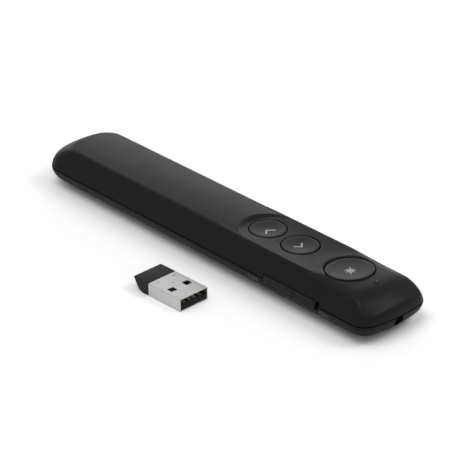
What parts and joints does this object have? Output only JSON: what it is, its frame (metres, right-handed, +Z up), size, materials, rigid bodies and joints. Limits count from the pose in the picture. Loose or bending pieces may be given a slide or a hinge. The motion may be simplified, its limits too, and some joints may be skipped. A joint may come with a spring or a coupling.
{
  "type": "presentation clicker",
  "caption": "Hand-held wireless presentation clicker with page and laser buttons, a side power slider, a slide-off battery cover and a separate plug-in receiver.",
  "frame": {"origin": "middle of the clicker's flat underside, on the surface it lies on", "axes": "+X along the clicker to the laser nose, +Y across it away from the power slider, +Z up through the buttons"},
  "size_m": [0.1606, 0.0558, 0.0151],
  "materials": {
    "shell_grey": "fine satin moulded texture, dark grey",
    "shell_lower_grey": "fine satin moulded texture, dark grey",
    "button_grey": "smooth satin, dark grey, with a pale printed symbol",
    "slider_grey": "fine satin, dark grey",
    "black_plastic": "plain moulded black",
    "cap_black": "satin moulded black",
    "tongue_black": "moulded insulator",
    "board_green": "solder-masked laminate",
    "chip_black": "moulded package",
    "tin": "tinned metal",
    "part_tan": "ceramic",
    "plunger_white": "moulded",
    "led_amber": "clear cast resin",
    "light_pipe_clear": "clear moulded acrylic",
    "brass": "turned",
    "lens_glass": "moulded lens",
    "diode_gold": "plated can",
    "cell_wrap": "plain printed sleeve on steel",
    "spring_steel": "nickel plated wire",
    "contact_nickel": "nickel plated sheet",
    "screw_steel": "dark zinc plated",
    "plug_steel": "bright nickel plated, satin",
    "gold": "gold plated"
  },
  "bodies": {
    "housing": {"battery_cell": "cell_wrap", "battery_spring": "spring_steel", "board_screws": "screw_steel", "case_screws": "screw_steel", "chip_parts": "part_tan", "circuit_board": "board_green", "crystal": "tin", "laser_barrel": "brass", "laser_diode": "diode_gold", "laser_leads": "tin", "laser_lens": "lens_glass", "laser_switch_body": "chip_black", "light_pipe": "light_pipe_clear", "lower_shell": "shell_lower_grey", "negative_contact": "contact_nickel", "next_switch_body": "chip_black", "positive_contact": "contact_nickel", "previous_switch_body": "chip_black", "radio_chip": "chip_black", "slide_switch_body": "tin", "status_led": "led_amber", "upper_shell": "shell_grey"},
    "previous_button": {"previous_button": "button_grey", "previous_switch_plunger": "plunger_white"},
    "next_button": {"next_button": "button_grey", "next_switch_plunger": "plunger_white"},
    "laser_button": {"laser_button": "button_grey", "laser_switch_plunger": "plunger_white"},
    "power_slider": {"power_slider": "slider_grey", "slide_switch_lever": "black_plastic"},
    "battery_cover": {"battery_cover": "shell_lower_grey"},
    "receiver": {"receiver_shell": "plug_steel", "receiver_cap": "cap_black", "receiver_tongue": "tongue_black", "receiver_contacts": "gold", "receiver_board": "board_green", "receiver_chip": "chip_black"}
  },
  "joints": [
    {"name": "previous_press", "type": "slide", "parent": "housing", "child": "previous_button", "axis": [0, 0, -1], "range_m": [0, 0.0004], "stiffness_N_per_m": 3000},
    {"name": "next_press", "type": "slide", "parent": "housing", "child": "next_button", "axis": [0, 0, -1], "range_m": [0, 0.0004], "stiffness_N_per_m": 3000},
    {"name": "laser_press", "type": "slide", "parent": "housing", "child": "laser_button", "axis": [0, 0, -1], "range_m": [0, 0.0004], "stiffness_N_per_m": 3000},
    {"name": "power_slide", "type": "slide", "parent": "housing", "child": "power_slider", "axis": [1, 0, 0], "range_m": [0, 0.0015]},
    {"name": "battery_cover_slide", "type": "slide", "parent": "housing", "child": "battery_cover", "axis": [-1, 0, 0], "range_m": [0, 0.006]},
    {"name": "receiver_lift", "type": "slide", "parent": "housing", "child": "receiver", "axis": [0, 0, 1], "range_m": [0, 0.05]}
  ]
}
